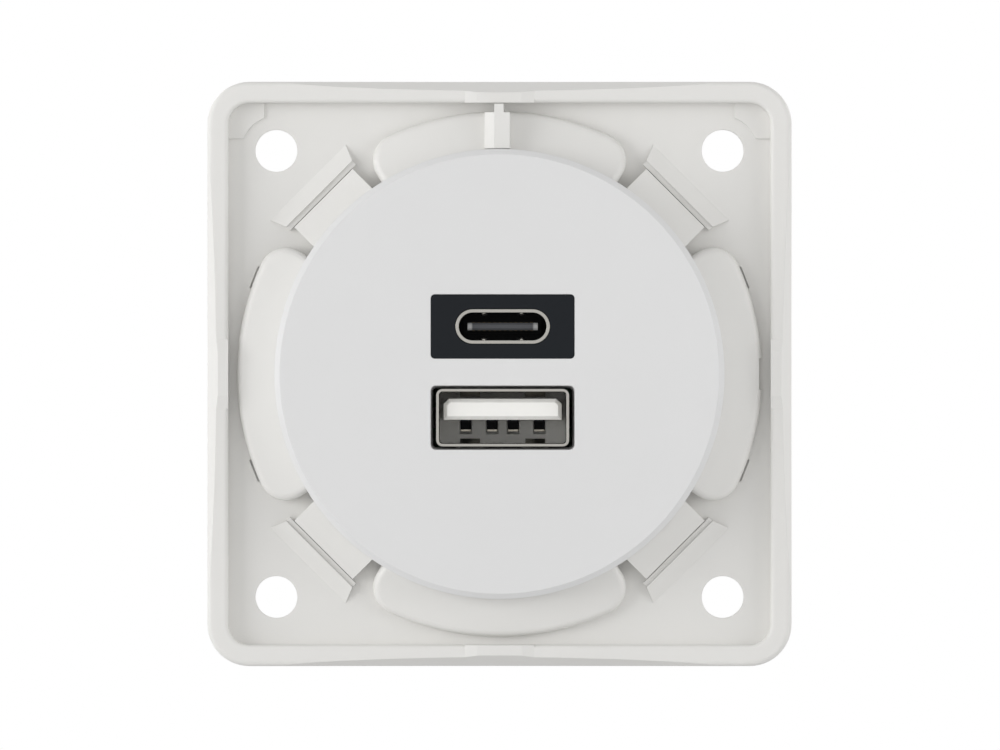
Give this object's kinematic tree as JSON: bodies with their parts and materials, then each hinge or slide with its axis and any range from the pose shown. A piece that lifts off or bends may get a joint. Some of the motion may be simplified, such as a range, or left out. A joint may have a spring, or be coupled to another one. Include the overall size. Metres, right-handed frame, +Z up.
{
  "type": "usb wall socket",
  "caption": "Flush usb wall socket: square clip-in mounting plate, round white charger module with usb-c and usb-a ports, and screw-clamp mains terminals at the rear.",
  "frame": {"origin": "centre of the four fixing holes, on the plate's back face where it meets the wall", "axes": "+X to the right seen from the front, +Y into the wall, +Z up; the ports face -Y"},
  "size_m": [0.0556, 0.0377, 0.0556],
  "materials": {
    "plate_white": "satin moulded",
    "collar_white": "satin moulded",
    "cover_white": "satin moulded",
    "bezel_black": "matt moulded",
    "port_steel": "plated and drawn",
    "tongue_black": "matt moulded",
    "tongue_white": "matt moulded",
    "contact_gold": "plated",
    "board_green": "lacquered laminate",
    "ferrite_grey": "sintered",
    "tape_yellow": "film tape",
    "can_dark": "sleeved can",
    "can_silver": "bare can",
    "disc_blue": "dipped coating",
    "chip_black": "matt moulded",
    "housing_white": "fine eroded texture",
    "block_grey": "matt moulded",
    "bar_brass": "stamped strip",
    "clamp_steel": "zinc plated"
  },
  "bodies": {
    "socket": {"mounting_plate": "plate_white", "module_collar": "collar_white", "front_cover": "cover_white", "usb_c_bezel": "bezel_black", "usb_c_tube": "port_steel", "usb_c_tongue": "tongue_black", "usb_c_contacts": "contact_gold", "usb_a_tube": "port_steel", "usb_a_insulator": "tongue_white", "usb_a_contacts": "contact_gold", "connector_board": "board_green", "power_board": "board_green", "header_block": "chip_black", "header_pins": "contact_gold", "transformer_core": "ferrite_grey", "transformer_bobbin": "chip_black", "transformer_winding": "tape_yellow", "bulk_capacitors": "can_dark", "smoothing_capacitors": "can_silver", "varistor": "disc_blue", "safety_capacitor": "disc_blue", "line_choke": "ferrite_grey", "fuse": "chip_black", "bridge_rectifier": "chip_black", "controller_chip": "chip_black", "charge_chip": "chip_black", "rear_housing": "housing_white", "terminal_block": "block_grey", "terminal_bar_live": "bar_brass", "terminal_bar_neutral": "bar_brass"},
    "cage_live": {"clamp_cage_live": "clamp_steel"},
    "cage_neutral": {"clamp_cage_neutral": "clamp_steel"},
    "screw_live": {"clamp_screw_live": "clamp_steel"},
    "screw_neutral": {"clamp_screw_neutral": "clamp_steel"}
  },
  "joints": [
    {"name": "screw_live_turn", "type": "hinge", "parent": "socket", "child": "screw_live", "pos_m": [-0.0055, 0.0271, -0.011], "axis": [0, -1, 0], "range_deg": [0, 1800]},
    {"name": "cage_live_lift", "type": "slide", "parent": "socket", "child": "cage_live", "axis": [0, 1, 0], "range_m": [0, 0.0025]},
    {"name": "screw_neutral_turn", "type": "hinge", "parent": "socket", "child": "screw_neutral", "pos_m": [0.0055, 0.0271, -0.011], "axis": [0, -1, 0], "range_deg": [0, 1800]},
    {"name": "cage_neutral_lift", "type": "slide", "parent": "socket", "child": "cage_neutral", "axis": [0, 1, 0], "range_m": [0, 0.0025]}
  ],
  "couplings": [
    {"joint": "screw_live_turn", "follows": "cage_live_lift", "rad_per_m": 12566},
    {"joint": "screw_neutral_turn", "follows": "cage_neutral_lift", "rad_per_m": 12566}
  ]
}
